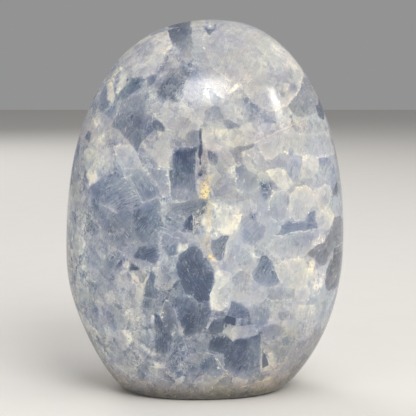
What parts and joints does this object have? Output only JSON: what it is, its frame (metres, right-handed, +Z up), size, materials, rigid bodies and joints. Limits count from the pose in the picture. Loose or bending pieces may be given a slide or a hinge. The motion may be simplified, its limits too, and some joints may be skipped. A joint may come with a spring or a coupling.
{
  "type": "polished blue calcite freeform",
  "caption": "Egg-shaped polished blue calcite stone, cut flat underneath so that it stands upright on a shelf or table.",
  "frame": {"origin": "centre of the stone's footprint box, on the flat base it rests on", "axes": "+Z up through the stone's height, +X to the right seen from the front, -Y out of the front face"},
  "size_m": [0.0976, 0.0552, 0.13],
  "materials": {
    "blue_calcite": "polished translucent blue calcite, mottled from milky blue-white to slate blue with clear crystal windows, white cleavage lines and a small ochre stain"
  },
  "bodies": {
    "root": {"calcite_freeform": "blue_calcite"}
  },
  "joints": []
}
